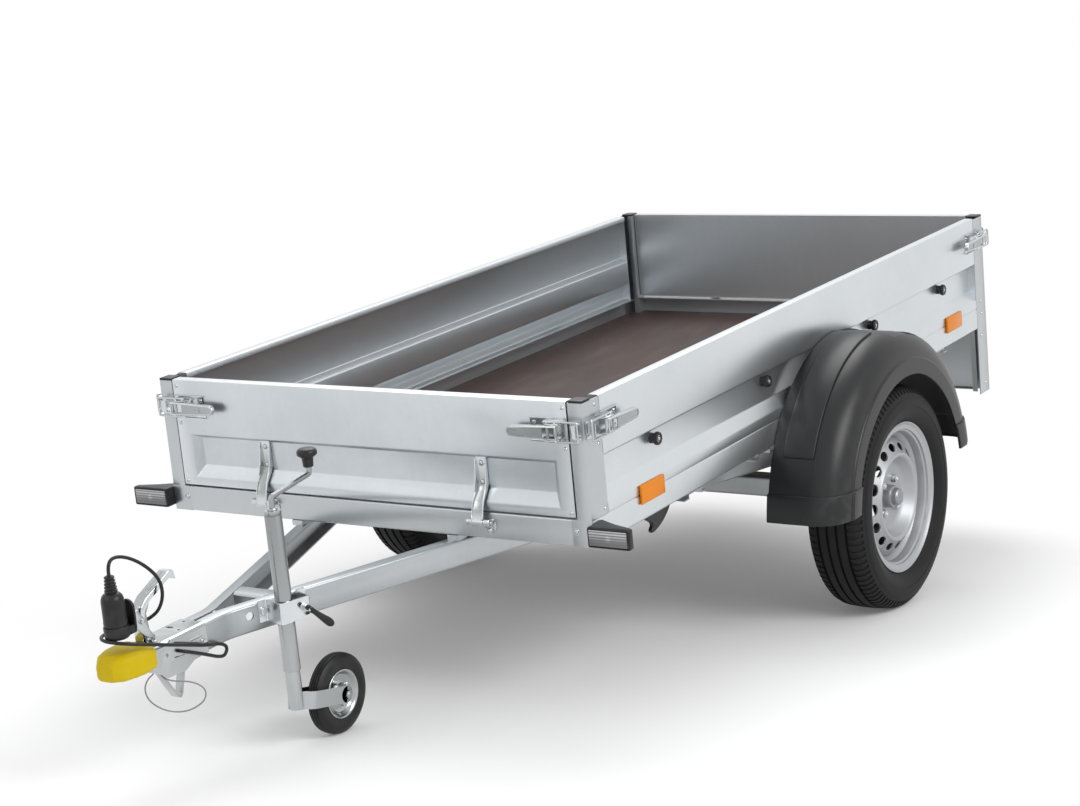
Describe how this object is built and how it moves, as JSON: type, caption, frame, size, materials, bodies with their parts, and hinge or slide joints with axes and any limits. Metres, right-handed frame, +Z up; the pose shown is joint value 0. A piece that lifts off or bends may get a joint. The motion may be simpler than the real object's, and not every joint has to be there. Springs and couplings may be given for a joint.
{
  "type": "utility trailer",
  "caption": "Open box trailer with folding end gates, a central road axle with mudguards, an A-frame drawbar with a ball coupling, and a jockey wheel.",
  "frame": {"origin": "on the ground the trailer is parked on, at the middle of its footprint, measured without the free cords and the plug", "axes": "+X to the trailer's own left, +Y to its rear (the drawbar points to -Y), +Z up; the body stands nose-low by 5.69 degrees"},
  "size_m": [1.497, 2.9896, 0.8849],
  "materials": {
    "galvanised_sheet": "hot-dip zinc with a faint spangle",
    "galvanised_steel": "hot-dip zinc, dull",
    "bright_zinc": "electro-plated zinc, bright",
    "cast_hub": "cast, zinc dust cover",
    "silver_rim": "silver lacquer",
    "road_tyre": "matt black",
    "jockey_rubber": "matt black",
    "black_plastic": "fine grain",
    "yellow_plastic": "satin",
    "amber_plastic": "prismatic",
    "clear_plastic": "clear over a bright back",
    "red_plastic": "clear red",
    "brown_plywood": "film-faced, fine anti-slip mesh"
  },
  "bodies": {
    "chassis": {"axle_beam": "galvanised_steel", "axle_brackets": "galvanised_steel", "clamp_lever": "black_plastic", "clamp_saddle": "bright_zinc", "coupling_body": "bright_zinc", "coupling_cap": "yellow_plastic", "coupling_handle": "bright_zinc", "cross_members": "galvanised_steel", "drawbar_brace": "galvanised_steel", "drawbar_left": "galvanised_steel", "drawbar_pads": "galvanised_steel", "drawbar_right": "galvanised_steel", "end_rails": "galvanised_steel", "floor_board": "brown_plywood", "front_posts": "galvanised_steel", "hinge_feet": "bright_zinc", "holder_bracket": "bright_zinc", "jockey_clamp": "bright_zinc", "latch_tabs": "bright_zinc", "light_board": "galvanised_sheet", "marker_housings": "black_plastic", "marker_lenses": "clear_plastic", "mudguard_left": "black_plastic", "mudguard_right": "black_plastic", "plug": "black_plastic", "plug_cable": "black_plastic", "plug_holder": "black_plastic", "post_caps": "black_plastic", "rail_hooks": "black_plastic", "rear_lamps": "red_plastic", "rear_posts": "galvanised_steel", "rope_knobs": "black_plastic", "safety_wire": "bright_zinc", "side_latches": "bright_zinc", "side_panel_left": "galvanised_sheet", "side_panel_right": "galvanised_sheet", "side_rails": "galvanised_steel", "side_reflectors": "amber_plastic", "stirrup": "galvanised_steel", "swing_arms": "galvanised_steel"},
    "front_gate": {"front_gate": "galvanised_sheet", "front_gate_straps": "bright_zinc", "front_gate_latches": "bright_zinc"},
    "tailgate": {"tailgate": "galvanised_sheet", "tailgate_straps": "bright_zinc", "tailgate_latches": "bright_zinc"},
    "wheel_left": {"tyre_left": "road_tyre", "rim_left": "silver_rim", "hub_left": "cast_hub"},
    "wheel_right": {"tyre_right": "road_tyre", "rim_right": "silver_rim", "hub_right": "cast_hub"},
    "jockey_tube": {"jockey_tube": "bright_zinc", "jockey_crank": "bright_zinc", "crank_knob": "black_plastic"},
    "jockey_fork": {"jockey_fork": "bright_zinc"},
    "jockey_wheel": {"jockey_tyre": "jockey_rubber", "jockey_rim": "bright_zinc"}
  },
  "joints": [
    {"name": "wheel_left_spin", "type": "hinge", "parent": "chassis", "child": "wheel_left", "pos_m": [0.66, 0.52351, 0.2735], "axis": [1, 0, 0], "continuous": true},
    {"name": "wheel_right_spin", "type": "hinge", "parent": "chassis", "child": "wheel_right", "pos_m": [-0.66, 0.52351, 0.2735], "axis": [1, 0, 0], "continuous": true},
    {"name": "front_gate_fold", "type": "hinge", "parent": "chassis", "child": "front_gate", "pos_m": [0, -0.65447, 0.40639], "axis": [1, 0, 0], "range_deg": [0, 90]},
    {"name": "tailgate_fold", "type": "hinge", "parent": "chassis", "child": "tailgate", "pos_m": [0, 1.46405, 0.61742], "axis": [-1, 0, 0], "range_deg": [0, 150]},
    {"name": "jockey_slide", "type": "slide", "parent": "chassis", "child": "jockey_tube", "axis": [0, -0.0991, 0.9951], "range_m": [-0.1, 0.09]},
    {"name": "jockey_swivel", "type": "hinge", "parent": "jockey_tube", "child": "jockey_fork", "pos_m": [0.1, -1.0525, 0.10445], "axis": [0, -0.0991, 0.9951], "continuous": true},
    {"name": "jockey_spin", "type": "hinge", "parent": "jockey_fork", "child": "jockey_wheel", "pos_m": [0.1, -0.91987, 0.0845], "axis": [1, 0, 0], "continuous": true}
  ]
}
